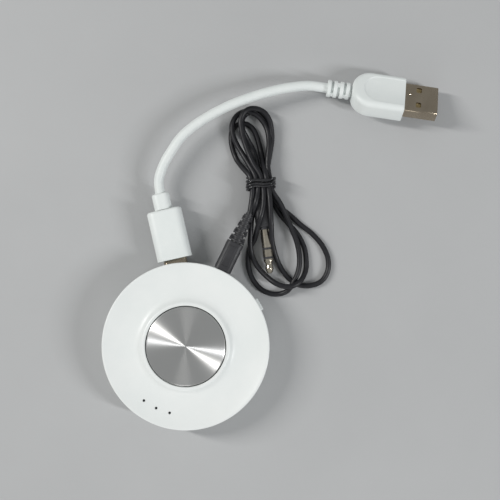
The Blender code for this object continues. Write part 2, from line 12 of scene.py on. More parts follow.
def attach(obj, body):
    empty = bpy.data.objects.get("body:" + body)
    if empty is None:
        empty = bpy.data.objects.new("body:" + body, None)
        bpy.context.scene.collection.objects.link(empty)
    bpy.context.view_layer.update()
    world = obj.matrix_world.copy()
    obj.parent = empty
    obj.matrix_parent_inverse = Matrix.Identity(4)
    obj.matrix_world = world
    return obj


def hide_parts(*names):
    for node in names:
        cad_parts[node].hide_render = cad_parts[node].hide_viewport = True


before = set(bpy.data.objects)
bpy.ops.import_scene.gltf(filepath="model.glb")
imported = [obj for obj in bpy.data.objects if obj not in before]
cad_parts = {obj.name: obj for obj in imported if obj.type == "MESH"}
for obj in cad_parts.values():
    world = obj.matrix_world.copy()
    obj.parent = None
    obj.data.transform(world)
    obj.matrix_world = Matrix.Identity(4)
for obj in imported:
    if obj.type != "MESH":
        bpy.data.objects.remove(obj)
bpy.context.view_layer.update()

MM = 0.001

# Puck
PUCK_R, WALL_R, FOOT_R = 29.2, 28.86, 28.5
RIM_Z, RIM_ROUND, PORT_Z, PARTING_Z = 12.0, 0.42, 6.5, 2.6
WELL_R, DISC_R, DISC_Z, DISC_THICK = 14.15, 13.8, 11.75, 0.7
DISC_DISH, DISC_DISH_R, TURNING_SPAN = 0.1, 13.46, 14
TURN_STEPS = 192
USB_ANGLE, USB_SIDE, SWITCH_ANGLE, AUDIO_ANGLE = 128.5, 2.8, 55.0, 90.0
USB_OPENING, AUDIO_OPENING_R, OPENING_INNER_Y = (9.6, 3.8), 2.9, 24.0
INDICATOR_ANGLES, INDICATOR_R, INDICATOR_HOLE_R = (258.0, 270.0, 282.0), 23.9, 0.45
SCREW_ANGLES, SCREW_CIRCLE_R = (15.0, 165.0, 235.0, 305.0), 22.5
KNOB, KNOB_OUT, KNOB_CLEARANCE, SWITCH_TRAVEL = (4.6, 4.9, 2.0), 0.7, 0.6, 2.0

# USB lead
USB_C_SHELL, USB_C_GRIP, USB_C_START = (8.25, 2.4), (12.3, 17.8, 6.4), 30.5
USB_C_NECK = (6.2, 5.6, 4.8)
PLUG_WALL, PLUG_POCKET, WINDOW_ASIDE = 0.35, 0.5, 3.25
USB_CORD_R = 1.75
USB_A_SHELL, USB_A_OUT, USB_A_GRIP = (12.0, 4.5), 11.8, (15.0, 18.6, 7.8)
USB_A_RIBS, USB_A_RIB_PITCH, USB_A_RELIEF_BACK, USB_CORD_BACK = 4, 2.2, 8.6, 8.2
USB_A_BASE, USB_A_HEADING, USB_A_ROLL = (13.8, 105.7, 6.45), 17.0, 29.0
USB_ROUTE = ((-33.9, 48.2, 6.7), (-34.7, 53.3, 7.1), (-34.3, 59.4, 7.5), (-33.2, 65.3, 7.9),
             (-30.6, 71.2, 8.2), (-26.9, 77.0, 8.4), (-22.6, 82.6, 8.5), (-17.6, 87.9, 8.4),
             (-12.2, 92.9, 8.1), (-6.5, 97.4, 7.6), (-0.5, 101.1, 6.8))

# Audio lead
PIN_R, PIN_LENGTH = 1.75, 16.4
INSULATOR_R, INSULATORS = 1.69, ((5.3, 6.05), (8.6, 9.35))
AUDIO_GRIP, AUDIO_START = (6.2, 10.2, 5.6), 29.6
RELIEF_BASE_R, RELIEF_TIP_R, RELIEF_LENGTH, RELIEF_RIB_COUNT = 2.95, 1.7, 11.0, 8
AUDIO_CORD_R = 0.95
FIRST_LAYER, SECOND_LAYER, THIRD_LAYER = 0.95, 2.85, 4.9
FAR_PIN_BASE, FAR_PIN_HEADING = (7.0, 49.3, 3.2), -57.7
TIE_CENTRE, TIE_HEADING, TIE_WIRE_R = (-1.0, 62.8), 26.0, 0.4
GAP = 0.3

# Camera and light
LIGHT_DISTANCE, LIGHT_TARGET = 0.9, (0.0, 0.03, 0.0)
LIGHTS = (("key", 187, 42, (0.045, 0.4), 4.3, (1.0, 0.99, 0.97)),
          ("second", 5, 38, (0.025, 0.3), 3.2, (0.98, 0.99, 1.0)),
          ("low", 287, 20, (0.3, 0.4), 0.9, (1.0, 0.99, 0.97)))
CAMERA_SPOT, CAMERA_TURN = (0.0057, 0.0399, 0.330), 25.6
ROOM_COLOUR, ROOM_STRENGTH = (0.88, 0.90, 0.90, 1), 0.40


# ---- places

# Lays a piece turned about Z down along +Y.
LYING = Matrix.Rotation(math.radians(-90), 4, "X")


def turn(angle, height=0.0):
    """Local +Y points out of the puck at this angle."""
    return Matrix.Rotation(math.radians(angle - 90), 4, "Z") @ Matrix.Translation((0, 0, height))


def usb_port(reach=0.0):
    return turn(USB_ANGLE, PORT_Z) @ Matrix.Translation((USB_SIDE, reach, 0))


def along_y(distance):
    return Matrix.Translation((0, distance, 0))


def usb_a_place():
    heading = Matrix.Rotation(math.radians(USB_A_HEADING - 90), 4, "Z")
    return Matrix.Translation(USB_A_BASE) @ heading @ Matrix.Rotation(math.radians(-USB_A_ROLL), 4, "Y")


def far_plug_place():
    heading = Matrix.Rotation(math.radians(FAR_PIN_HEADING + 90), 4, "Z")
    return Matrix.Translation(FAR_PIN_BASE) @ heading


def tie_place():
    return Matrix.Translation((*TIE_CENTRE, 0)) @ Matrix.Rotation(math.radians(TIE_HEADING), 4, "Z")


# ---- shapes

def arc(centre, radius, start, end, count):
    steps = [math.radians(start + (end - start) * i / (count - 1)) for i in range(count)]
    return [(centre[0] + radius * math.cos(a), centre[1] + radius * math.sin(a)) for a in steps]


def rounded(width, height, radius, count=8):
    """A rectangle with round corners, in order round its edge."""
    points = []
    for quarter, (sx, sy) in enumerate(((1, 1), (-1, 1), (-1, -1), (1, -1))):
        corner = (sx * (width / 2 - radius), sy * (height / 2 - radius))
        points += arc(corner, radius, quarter * 90, quarter * 90 + 90, count)
    return points


def oval(width, height, count=10):
    """A slot outline with round ends."""
    return rounded(width, height, height / 2 - 0.01, count)


def smooth_line(points, spacing):
    """Points at an even spacing along a smooth curve through the given points."""
    ways = [Vector(p) for p in points]
    ways = [2 * ways[0] - ways[1]] + ways + [2 * ways[-1] - ways[-2]]
    fine = []
    for a, b, c, d in zip(ways, ways[1:], ways[2:], ways[3:]):
        span = (c - b).length
        before, after = max((b - a).length, 1e-6), max((d - c).length, 1e-6)
        lead = ((b - a) / before * span + (c - b) / span * before) / (before + span)
        tail = ((c - b) / span * after + (d - c) / after * span) / (after + span)
        fine += geometry.interpolate_bezier(b, b + lead * span / 3, c - tail * span / 3, c, 24)[:-1]
    fine.append(ways[-2])
    spans = [(q - p).length for p, q in zip(fine, fine[1:])]
    total = sum(spans)
    count = max(2, round(total / spacing))
    even, walked, index = [fine[0]], 0.0, 0
    for number in range(1, count):
        while walked + spans[index] < number * total / count:
            walked += spans[index]
            index += 1
        even.append(fine[index].lerp(fine[index + 1], (number * total / count - walked) / spans[index]))
    return even + [fine[-1]]


def loft(rings):
    """A closed skin through rings of points, capped at both ends."""
    builder = bmesh.new()
    rows = [[builder.verts.new(p) for p in ring] for ring in rings]
    for low, high in zip(rows, rows[1:]):
        for i in range(len(low)):
            j = (i + 1) % len(low)
            builder.faces.new((low[i], low[j], high[j], high[i]))
    builder.faces.new(rows[0][::-1])
    builder.faces.new(rows[-1])
    bmesh.ops.recalc_face_normals(builder, faces=builder.faces)
    return builder


def bar_along_y(outline, start, end, soften=0.0):
    """A bar along Y whose (x, z) section is given, with softened end edges."""
    rings = []
    reach = max(abs(x) for x, _ in outline)
    for y, inset in ((start, soften), (start + soften * 0.3, soften * 0.3), (start + soften, 0),
                     (end - soften, 0), (end - soften * 0.3, soften * 0.3), (end, soften)):
        shrink = 1 - inset / reach
        rings.append([(x * shrink, y, z - math.copysign(min(abs(z), inset), z)) for x, z in outline])
    return loft(rings if soften else [rings[0], rings[-1]])


def soft_bar(width, height, corner, start, end, front=0.0, rear=0.0, count=10):
    """A bar along Y with a rounded section and a quarter-round edge at each end."""
    rings = []
    for y_edge, soft, way in ((start, front, 1), (end, rear, -1)):
        steps = [(0.0, 0.0)]
        if soft:
            turns = [math.pi / 2 * k / 5 for k in range(6)]
            steps = [(soft * (1 - math.cos(t)), soft * (1 - math.sin(t))) for t in turns]
        rows = [(y_edge + way * rise, inset) for rise, inset in steps]
        rings += rows if way == 1 else rows[::-1]
    made = []
    for y, inset in rings:
        radius = max(corner - inset, 0.02)
        made.append([(x, y, z) for x, z in rounded(width - 2 * inset, height - 2 * inset, radius, count)])
    return loft(made)


def outward(mesh):
    """Turn a closed shell's faces the right way."""
    builder = bmesh.new()
    builder.from_mesh(mesh)
    bmesh.ops.recalc_face_normals(builder, faces=builder.faces)
    builder.to_mesh(mesh)
    builder.free()
    return mesh


def block(size, centre, bevel=0.0, segments=3):
    builder = bmesh.new()
    bmesh.ops.create_cube(builder, size=1)
    bmesh.ops.scale(builder, vec=size, verts=builder.verts)
    if bevel:
        bmesh.ops.bevel(builder, geom=builder.edges, offset=bevel, segments=segments, profile=0.5,
                        affect="EDGES")
    bmesh.ops.translate(builder, vec=centre, verts=builder.verts)
    return builder


def moulded_grip(size, back_radius, edge, front_edge):
    """A plug grip: a flat front at y = 0, a rounded back and rounded long edges."""
    width, length, height = size
    outline = [(width / 2, 0)]
    for side, start in ((1, 0), (-1, 90)):
        corner = (side * (width / 2 - back_radius), length - back_radius)
        outline += arc(corner, back_radius, start, start + 90, 14)
    outline.append((-width / 2, 0))
    builder = loft([[(x, y, z) for x, y in outline] for z in (-height / 2, height / 2)])
    rims = [e for e in builder.edges if abs(e.verts[0].co.z - e.verts[1].co.z) < 1e-6
            and max(v.co.y for v in e.verts) > 1e-6]
    bmesh.ops.bevel(builder, geom=rims, offset=edge, segments=8, profile=0.5, affect="EDGES")
    front = [e for e in builder.edges if max(v.co.y for v in e.verts) < 1e-6]
    bmesh.ops.bevel(builder, geom=front, offset=front_edge, segments=3, profile=0.5, affect="EDGES")
    return builder


def section(profile):
    """A closed (radius, height) outline as the edge line that the lathe takes."""
    return polyline([(r, -z, 0) for r, z in profile], True)


def turned(profile, steps=48, *finishes):
    """Spin a closed (radius, height) outline about Z."""
    mesh = outward(grown("turned", TURNING, section(profile), {"Steps": steps}))
    return repaint(mesh, *finishes) if finishes else mesh


def linked(name, data):
    """A new object at the origin, in the scene."""
    made = bpy.data.objects.new(name, data)
    bpy.context.collection.objects.link(made)
    return made


def plain_mesh(holder, *tools):
    """What an object's modifiers make of it; the object and its tools are deleted."""
    made = bpy.data.meshes.new_from_object(holder.evaluated_get(bpy.context.evaluated_depsgraph_get()))
    for thing in (*tools, holder):
        bpy.data.objects.remove(thing, do_unlink=True)
    return made


def as_mesh(builder, *finishes):
    mesh = bpy.data.meshes.new("shape")
    builder.to_mesh(mesh)
    builder.free()
    return repaint(mesh, *finishes)


def polyline(points, closed=False):
    builder = bmesh.new()
    verts = [builder.verts.new(p) for p in points]
    ends = verts[1:] + verts[:1] if closed else verts[1:]
    for a, b in zip(verts, ends):
        builder.edges.new((a, b))
    return as_mesh(builder)


def repaint(mesh, *finishes):
    mesh.materials.clear()
    for finish in finishes:
        mesh.materials.append(finish)
    return mesh


def carve(mesh, cutters, operation="DIFFERENCE"):
    """Cut or join solids for good; a cutter comes alone or with the matrix that places it."""
    holder = linked("carved", mesh)
    tools = []
    for cutter in cutters:
        shape, matrix = cutter if isinstance(cutter, tuple) else (cutter, Matrix())
        shape = shape if isinstance(shape, bpy.types.Mesh) else as_mesh(shape)
        shape.transform(matrix)
        tools.append(linked("tool", shape))
        step = holder.modifiers.new("carve", "BOOLEAN")
        step.operation, step.solver, step.object = operation, "EXACT", tools[-1]
    return plain_mesh(holder, *tools)


def settle(name, mesh, body, nodes=(), matrix=None, sharp=32.0):
    """Put a finished mesh in the frame as a piece that rides on a body and replaces CAD nodes."""
    if matrix is not None:
        mesh.transform(matrix)
    mesh.transform(Matrix.Scale(MM, 4))
    builder = bmesh.new()
    builder.from_mesh(mesh)
    bmesh.ops.remove_doubles(builder, verts=builder.verts, dist=2e-7)
    bmesh.ops.recalc_face_normals(builder, faces=builder.faces)
    for face in builder.faces:
        face.smooth = True
    builder.to_mesh(mesh)
    builder.free()
    mesh.set_sharp_from_angle(angle=math.radians(sharp))
    mesh.name = name
    piece = linked(name, mesh)
    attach(piece, body)
    if nodes:
        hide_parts(*nodes)
    return piece


# ---- geometry node trees

def new_tree(name, inputs):
    tree = bpy.data.node_groups.new(name, "GeometryNodeTree")
    tree.interface.new_socket("Geometry", in_out="INPUT", socket_type="NodeSocketGeometry")
    for label, kind, value in inputs:
        socket = tree.interface.new_socket(label, in_out="INPUT", socket_type="NodeSocket" + kind)
        if value is not None:
            socket.default_value = value
    tree.interface.new_socket("Geometry", in_out="OUTPUT", socket_type="NodeSocketGeometry")
    return tree, tree.nodes.new("NodeGroupInput").outputs, tree.nodes.new("NodeGroupOutput")


def add(tree, kind, settings=None, **links):
    """Add a node; each link is a value or an output socket for the input of that name."""
    made = tree.nodes.new(kind)
    for key, value in (settings or {}).items():
        setattr(made, key, value)
    for key, value in links.items():
        label = key.replace("_", " ")
        socket = next(s for s in made.inputs if s.name == label and s.enabled)
        if isinstance(value, bpy.types.NodeSocket):
            tree.links.new(value, socket)
        else:
            socket.default_value = value
    return made


def geo(tree, kind, settings=None, **links):
    return add(tree, "GeometryNode" + kind, settings, **links)


def shade(tree, kind, settings=None, **links):
    return add(tree, "ShaderNode" + kind, settings, **links)


def vector(tree, **parts):
    return shade(tree, "CombineXYZ", **parts).outputs[0]


def maths(tree, operation, first, second):
    made = tree.nodes.new("ShaderNodeMath")
    made.operation = operation
    for socket, value in zip(made.inputs, (first, second)):
        if isinstance(value, bpy.types.NodeSocket):
            tree.links.new(value, socket)
        else:
            socket.default_value = value
    return made.outputs[0]


def close_tree(tree, geometry, given, end):
    """Every tree ends in Realize Instances and Set Material."""
    real = geo(tree, "RealizeInstances", Geometry=geometry)
    dressed = geo(tree, "SetMaterial", Geometry=real.outputs[0], Material=given["Material"])
    tree.links.new(dressed.outputs[0], end.inputs[0])


def lathe_nodes(tree, outline, steps):
    rail = geo(tree, "MeshToCurve", Mesh=outline)
    circle = geo(tree, "CurvePrimitiveCircle", Resolution=steps, Radius=1e-6)
    skin = geo(tree, "CurveToMesh", Curve=circle.outputs[0], Profile_Curve=rail.outputs[0])
    return geo(tree, "MergeByDistance", Geometry=skin.outputs[0], Distance=0.0005).outputs[0]


def turning_tree():
    """An outline spun round the axis."""
    tree, given, end = new_tree("turned piece", [("Steps", "Int", 48), ("Material", "Material", None)])
    close_tree(tree, lathe_nodes(tree, given[0], given["Steps"]), given, end)
    return tree


def sweep_tree():
    """A round cord along a line, with its distance along the line kept as an attribute."""
    tree, given, end = new_tree("swept cord", [
        ("Radius", "Float", 1.0), ("Sides", "Int", 16), ("Material", "Material", None)])
    rail = geo(tree, "MeshToCurve", Mesh=given[0])
    travelled = tree.nodes.new("GeometryNodeSplineParameter").outputs["Length"]
    marked = geo(tree, "StoreNamedAttribute", {"data_type": "FLOAT", "domain": "POINT"},
                 Geometry=rail.outputs[0], Name="along", Value=travelled)
    circle = geo(tree, "CurvePrimitiveCircle", Resolution=given["Sides"], Radius=given["Radius"])
    skin = geo(tree, "CurveToMesh", Curve=marked.outputs[0], Profile_Curve=circle.outputs[0],
               Fill_Caps=True)
    close_tree(tree, skin.outputs[0], given, end)
    return tree


def relief_tree():
    """Ribs along a tapering core, joined by webs that turn a quarter from gap to gap.

    The rib's own section is the geometry given.
    """
    tree, given, end = new_tree("ribbed relief", [
        ("Ribs", "Int", 6), ("Pitch", "Float", 1.8), ("Taper", "Float", 0.5),
        ("Core Base", "Float", 2.0), ("Core Tip", "Float", 1.0), ("Length", "Float", 11.0),
        ("Bridge", "Float", 4.0), ("Steps", "Int", 40), ("Material", "Material", None)])
    rib = lathe_nodes(tree, given[0], given["Steps"])
    step = vector(tree, Z=given["Pitch"])
    line = geo(tree, "MeshLine", Count=given["Ribs"], Offset=step)
    index = tree.nodes.new("GeometryNodeInputIndex").outputs[0]
    last = maths(tree, "SUBTRACT", given["Ribs"], 1.0)
    share = maths(tree, "DIVIDE", index, last)
    loss = maths(tree, "MULTIPLY", share, maths(tree, "SUBTRACT", 1.0, given["Taper"]))
    width = maths(tree, "SUBTRACT", 1.0, loss)
    scale = vector(tree, X=width, Y=width, Z=1.0)
    ribs = geo(tree, "InstanceOnPoints", Points=line.outputs[0], Instance=rib, Scale=scale)
    quarter = maths(tree, "MULTIPLY", maths(tree, "MODULO", index, 2.0), math.pi / 2)
    swing = vector(tree, Z=quarter)
    slab = vector(tree, X=given["Bridge"], Y=1.3, Z=given["Pitch"])
    web = geo(tree, "MeshCube", Size=slab)
    half = vector(tree, Z=maths(tree, "MULTIPLY", given["Pitch"], 0.5))
    raised = geo(tree, "Transform", Geometry=web.outputs[0], Translation=half)
    short = geo(tree, "MeshLine", Count=last, Offset=step)
    webs = geo(tree, "InstanceOnPoints", Points=short.outputs[0], Instance=raised.outputs[0],
               Rotation=swing, Scale=scale)
    core = geo(tree, "MeshCone", Vertices=40, Radius_Top=given["Core Tip"],
               Radius_Bottom=given["Core Base"], Depth=given["Length"])
    join = tree.nodes.new("GeometryNodeJoinGeometry")
    for part in (core, ribs, webs):
        tree.links.new(part.outputs[0], join.inputs[0])
    close_tree(tree, join.outputs[0], given, end)
    return tree


def row_tree():
    """The given shape repeated along a straight line, such as a row of contacts."""
    tree, given, end = new_tree("row of contacts", [
        ("Count", "Int", 4), ("Pitch", "Float", 1.0), ("Material", "Material", None)])
    spaces = maths(tree, "SUBTRACT", given["Count"], 1.0)
    reach = maths(tree, "MULTIPLY", given["Pitch"], spaces)
    first = vector(tree, X=maths(tree, "MULTIPLY", reach, -0.5))
    step = vector(tree, X=given["Pitch"])
    line = geo(tree, "MeshLine", Count=given["Count"],
               Start_Location=first, Offset=step)
    copies = geo(tree, "InstanceOnPoints", Points=line.outputs[0], Instance=given[0])
    close_tree(tree, copies.outputs[0], given, end)
    return tree


def circle_tree():
    """The given shape set at the puck's screw angles, each turned by its own seeded twist."""
    tree, given, end = new_tree("screws in the base", [
        ("Circle Radius", "Float", 22.5), ("Seed", "Int", 4), ("Material", "Material", None)])
    join = tree.nodes.new("GeometryNodeJoinGeometry")
    for number, angle in enumerate(SCREW_ANGLES):
        x = maths(tree, "MULTIPLY", given["Circle Radius"], math.cos(math.radians(angle)))
        y = maths(tree, "MULTIPLY", given["Circle Radius"], math.sin(math.radians(angle)))
        place = vector(tree, X=x, Y=y)
        twist = tree.nodes.new("FunctionNodeRandomValue")
        twist.data_type = "FLOAT"
        twist.inputs[3].default_value = math.tau
        twist.inputs["ID"].default_value = number
        tree.links.new(given["Seed"], twist.inputs["Seed"])
        spin = vector(tree, Z=twist.outputs[1])
        moved = geo(tree, "Transform", Geometry=given[0],
                    Translation=place, Rotation=spin)
        tree.links.new(moved.outputs[0], join.inputs[0])
    close_tree(tree, join.outputs[0], given, end)
    return tree


def grown(name, tree, base, values):
    """Run a tree on a base mesh and keep its result as a plain mesh."""
    holder = linked(name, base)
    step = holder.modifiers.new(name, "NODES")
    step.node_group = tree
    for item in tree.interface.items_tree:
        if item.item_type == "SOCKET" and item.in_out == "INPUT" and item.name in values:
            step[item.identifier] = values[item.name]
    return plain_mesh(holder)


TURNING, SWEEP, RELIEF_RIBS, ROW, SCREW_CIRCLE = (
    turning_tree(), sweep_tree(), relief_tree(), row_tree(), circle_tree())


# ---- finishes

def surface(name, **sockets):
    """A new material's tree and shader, with the shader's sockets set."""
    made = bpy.data.materials.new(name)
    made.use_nodes = True
    shader = made.node_tree.nodes["Principled BSDF"]
    for label, value in sockets.items():
        shader.inputs[label.replace("_", " ")].default_value = value
    return made, made.node_tree, shader


def drift_colour(tree, shader, amount, dark, light):
    ramp = shade(tree, "ValToRGB", Fac=amount)
    for stop, position, colour in zip(ramp.color_ramp.elements, (0.3, 0.7), (dark, light)):
        stop.position, stop.color = position, (*colour, 1)
    tree.links.new(ramp.outputs[0], shader.inputs["Base Color"])


def uneven_gloss(tree, shader, amount, roughness, spread, low=0.3, high=0.7):
    gloss = shade(tree, "MapRange", Value=amount, From_Min=low, From_Max=high,
                To_Min=roughness - spread, To_Max=roughness + spread)
    tree.links.new(gloss.outputs[0], shader.inputs["Roughness"])


def raise_grain(tree, shader, amount, relief):
    bump = shade(tree, "Bump", Height=amount, Strength=1.0, Distance=relief)
    tree.links.new(bump.outputs[0], shader.inputs["Normal"])


def finish(name, dark, light, roughness, metallic=0.0, mottle=90.0, grain=5000.0, relief=0.00001,
           spread=0.06, stretch=(1.0, 1.0, 1.0), **sockets):
    """A surface with slow colour drift, fine moulded grain and uneven gloss, on object coordinates."""
    made, tree, shader = surface(name, Metallic=metallic, **sockets)
    where = tree.nodes.new("ShaderNodeTexCoord").outputs["Object"]
    lay = shade(tree, "Mapping", Vector=where, Scale=stretch).outputs[0]
    drift = shade(tree, "TexNoise", Vector=lay, Scale=mottle, Detail=4.0, Roughness=0.6)
    drift_colour(tree, shader, drift.outputs["Fac"], dark, light)
    worn = shade(tree, "TexNoise", Vector=lay, Scale=mottle * 2.7, Detail=3.0)
    uneven_gloss(tree, shader, worn.outputs["Fac"], roughness, spread)
    fine = shade(tree, "TexNoise", Vector=lay, Scale=grain, Detail=3.0, Roughness=0.55)
    raise_grain(tree, shader, fine.outputs["Fac"], relief)
    return made


def spun_metal(name, dark, light):
    """Turned aluminium: rings of fine tool marks, and streaks that follow them."""
    made, tree, shader = surface(name, Metallic=1.0, Anisotropic=1.0)
    along = shade(tree, "Tangent", {"direction_type": "UV_MAP", "uv_map": "turning"})
    tree.links.new(along.outputs[0], shader.inputs["Tangent"])
    rings = shade(tree, "UVMap", {"uv_map": "turning"})
    apart = shade(tree, "SeparateXYZ", Vector=rings.outputs[0])
    marks = shade(tree, "TexNoise", {"noise_dimensions": "1D"}, W=apart.outputs["X"], Scale=260.0,
                Detail=4.0, Roughness=0.7).outputs["Fac"]
    drift_colour(tree, shader, marks, dark, light)
    uneven_gloss(tree, shader, marks, 0.34, 0.04, 0.25, 0.75)
    raise_grain(tree, shader, marks, 0.000002)
    return made


def cord_finish(name, dark, light, roughness, **sockets):
    """Extruded rubber: faint bands along the cord's length and a fine skin."""
    made = finish(name, dark, light, roughness, mottle=260.0, grain=3600.0, relief=0.000012, **sockets)
    tree = made.node_tree
    travelled = shade(tree, "Attribute", {"attribute_name": "along"})
    bands = shade(tree, "TexNoise", {"noise_dimensions": "1D"}, W=travelled.outputs["Fac"],
                Scale=0.9, Detail=3.0)
    uneven_gloss(tree, tree.nodes["Principled BSDF"], bands.outputs["Fac"], roughness, 0.07)
    return made


WHITE_SHELL = finish("white shell plastic", (0.79, 0.82, 0.81), (0.83, 0.85, 0.84), 0.36, mottle=70.0,
                     grain=4200.0, relief=0.000008, IOR=1.5)
WHITE_GRIP = finish("white grip plastic", (0.76, 0.80, 0.79), (0.80, 0.83, 0.82), 0.42, mottle=150.0,
                    grain=3800.0, relief=0.000012, IOR=1.48)
WHITE_CORD = cord_finish("white cord jacket", (0.74, 0.78, 0.77), (0.78, 0.81, 0.80), 0.46, IOR=1.47)
BLACK_CORD = cord_finish("black cord jacket", (0.009, 0.009, 0.011), (0.014, 0.014, 0.017), 0.42,
                         IOR=1.5, Specular_IOR_Level=0.38)
BLACK_GRIP = finish("black grip rubber", (0.028, 0.028, 0.031), (0.040, 0.040, 0.044), 0.46,
                    mottle=300.0, grain=4600.0, relief=0.00002, IOR=1.5, Specular_IOR_Level=0.4)
TIE_WIRE = finish("coated tie wire", (0.016, 0.016, 0.018), (0.024, 0.024, 0.027), 0.16, mottle=400.0,
                  grain=3000.0, relief=0.00001, IOR=1.5)
SPUN_ALUMINIUM = spun_metal("spun aluminium", (0.64, 0.64, 0.635), (0.80, 0.80, 0.79))
# Warm nickel tone darkened to paint in the dark surroundings that the plated shells reflect: partly the
# metal's own colour, partly painted reflection.
SHELL_NICKEL_WITH_PAINTED_REFLECTION = finish("nickel shell with painted dark reflection", (0.36, 0.305, 0.235), (0.43, 0.37, 0.29), 0.24, metallic=1.0,
                    mottle=260.0, grain=2600.0, relief=0.000002, stretch=(1.0, 0.18, 1.0))
PIN_METAL = finish("plated pin", (0.50, 0.45, 0.37), (0.60, 0.55, 0.46), 0.15, metallic=1.0, mottle=500.0,
                   grain=5200.0, relief=0.000004, spread=0.04)
CONTACT_GOLD = finish("contact gold", (0.80, 0.58, 0.24), (0.90, 0.68, 0.33), 0.24, metallic=1.0,
                      mottle=900.0, spread=0.05)
# Near-black finish for the light-pipe lenses: painted shade that stands in for the shade deep inside the
# narrow indicator holes.
HOLE_SHADE_LENS = finish("light pipe lens with painted hole shade", (0.006, 0.006, 0.008), (0.012, 0.012, 0.014), 0.2, mottle=900.0)


def record_finishes():
    """Finishes for the CAD nodes that are shown as they are, by node name."""
    steel = finish("zinc plated steel", (0.50, 0.51, 0.53), (0.62, 0.63, 0.65), 0.34, metallic=1.0,
                   mottle=420.0, grain=3000.0)
    black = finish("black moulding", (0.014, 0.014, 0.015), (0.022, 0.022, 0.024), 0.48, mottle=420.0)
    can = finish("tinned can", (0.55, 0.55, 0.54), (0.68, 0.68, 0.67), 0.4, metallic=1.0, mottle=520.0,
                 grain=2400.0, relief=0.00001)
    foil = finish("cell pouch foil", (0.60, 0.61, 0.63), (0.74, 0.75, 0.77), 0.42, metallic=0.7,
                  mottle=240.0, grain=1500.0, relief=0.00004)
    worn_by = ((board_finish(), ("circuit_board",)), (can, ("radio_shield_can",)),
               (foil, ("battery_cell",)),
               (steel, ("crystal", "coupling_capacitor_1", "coupling_capacitor_2",
                        "slide_switch_body", "usb_socket_shell")),
               (black, ("audio_chip", "charge_chip", "tact_switch_body", "tact_switch_plunger",
                        "usb_socket_tongue", "audio_socket")),
               (WHITE_SHELL, ("button_clip_1", "button_clip_2", "button_clip_3")))
    return {node: made for made, nodes in worn_by for node in nodes}


def board_finish():
    """Green solder mask over a grid of faint traces."""
    made = finish("solder mask green", (0.010, 0.075, 0.030), (0.018, 0.11, 0.045), 0.34, mottle=500.0,
                  grain=2800.0, relief=0.00002)
    tree = made.node_tree
    shader = tree.nodes["Principled BSDF"]
    where = tree.nodes.new("ShaderNodeTexCoord").outputs["Object"]
    traces = shade(tree, "TexBrick", {"offset": 0.5, "squash": 2.0}, Vector=where, Scale=620.0,
                   Mortar_Size=0.06, Mortar_Smooth=0.2, Color1=(0.010, 0.085, 0.034, 1),
                   Color2=(0.016, 0.12, 0.05, 1), Mortar=(0.03, 0.19, 0.08, 1))
    tree.links.new(traces.outputs["Color"], shader.inputs["Base Color"])
    return made


# ---- cords

def tie_point(across, height, away):
    """A point in the tie's frame: across the lead, up, and along it away from the puck."""
    return tuple(tie_place() @ Vector((across, away, height)))


def through_tie(across, height, away_from_puck):
    """The two points where a strand goes into the tie and comes out of it."""
    near, far = tie_point(across + 0.4, height, -2.6), tie_point(across - 0.6, height, 2.6)
    return [near, far] if away_from_puck else [far, near]


def level(height, *points):
    return [(x, y, height) for x, y in points]


